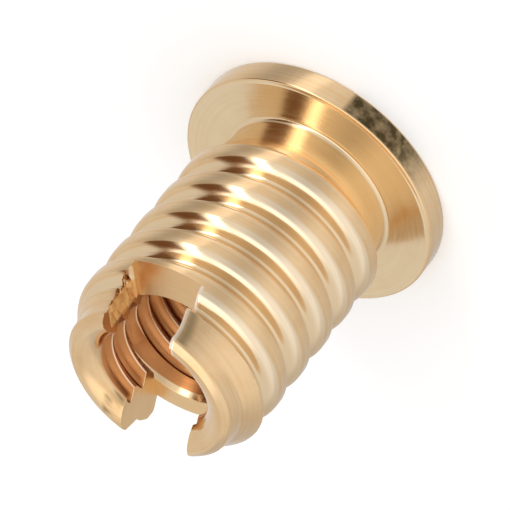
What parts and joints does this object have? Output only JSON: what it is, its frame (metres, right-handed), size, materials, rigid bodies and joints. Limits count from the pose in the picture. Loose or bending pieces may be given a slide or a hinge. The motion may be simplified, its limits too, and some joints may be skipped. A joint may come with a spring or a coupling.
{
  "type": "flanged threaded insert nut",
  "caption": "Flanged brass insert nut with a coarse outer thread, a threaded through bore and a driving slot across its end.",
  "frame": {"origin": "centre of the flange's outer face, which the part stands on", "axes": "+Z along the axis towards the slotted end; the driving slot runs along Y"},
  "size_m": [0.0164, 0.0164, 0.019],
  "materials": {
    "brass": "as-turned brass, bright on the crests and the rim"
  },
  "bodies": {
    "root": {"insert_nut": "brass"}
  },
  "joints": []
}
